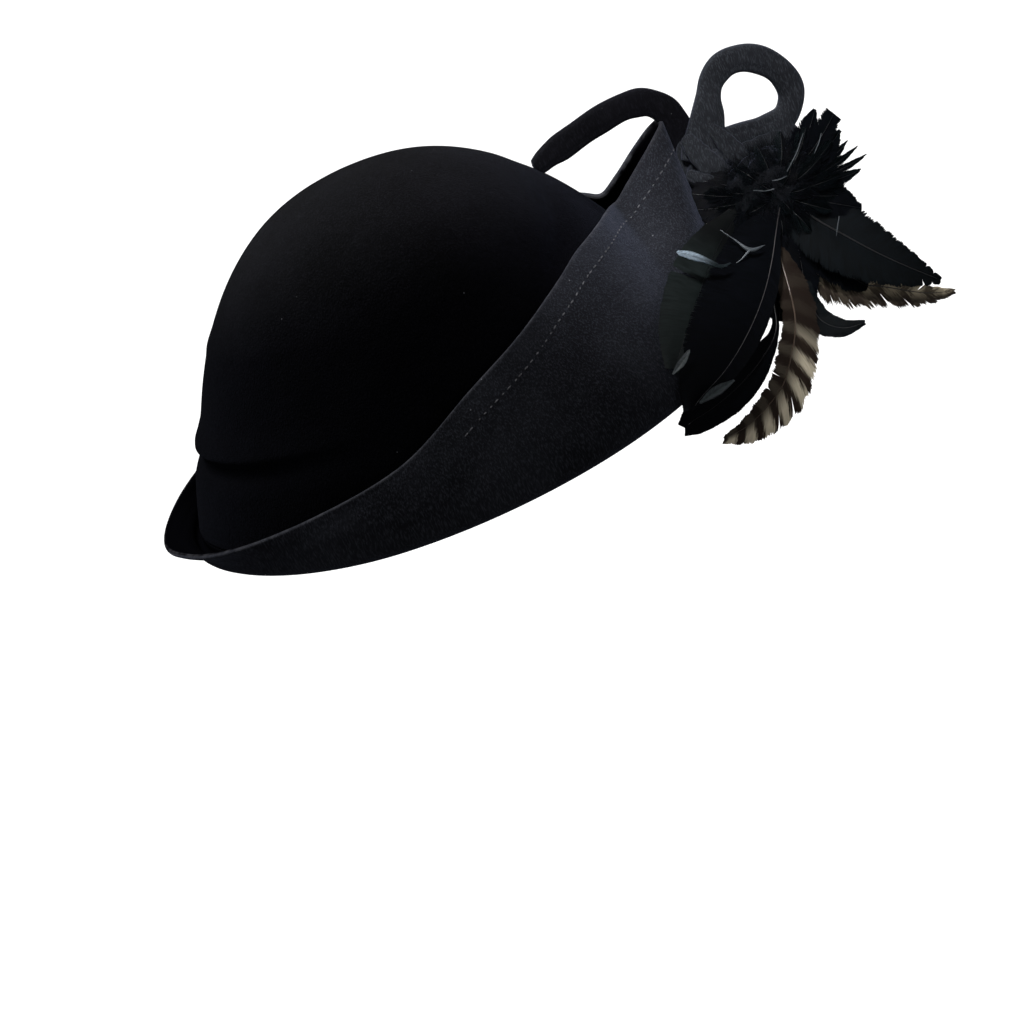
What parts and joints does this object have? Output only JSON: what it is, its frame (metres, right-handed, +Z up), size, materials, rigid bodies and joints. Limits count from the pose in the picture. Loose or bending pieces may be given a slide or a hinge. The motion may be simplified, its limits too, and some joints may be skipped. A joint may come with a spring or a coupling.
{
  "type": "wool hat",
  "caption": "Soft black wool felt hat with a rounded crown, a turned-up brim pinched to a peak in front, a felt strap and bow loop over it, and a spray of cock feathers.",
  "frame": {"origin": "centre of the head opening, level with the bottom of the brim's fold", "axes": "+Z up through the crown, +X to the front with the brim's peak, -Y to the wearer's right where the feathers hang"},
  "size_m": [0.3073, 0.183, 0.1329],
  "materials": {
    "felt_crown": "napped wool felt",
    "felt_brim": "napped wool felt",
    "felt_trim": "folded wool felt strip",
    "down_black": "downy black feather",
    "feather_black": "satin black feather vane",
    "feather_barred": "cream feather vane with brown bars"
  },
  "bodies": {
    "root": {"crown": "felt_crown", "brim": "felt_brim", "strap": "felt_trim", "bow_loop": "felt_trim", "knot": "felt_trim", "feather_head": "down_black", "plume_black_front": "feather_black", "plume_barred_front": "feather_barred", "plume_barred_hanging": "feather_barred", "plume_black_long": "feather_black", "plume_black_sheen": "feather_black", "plume_black_blunt": "feather_black", "plume_black_fork": "feather_black"}
  },
  "joints": []
}
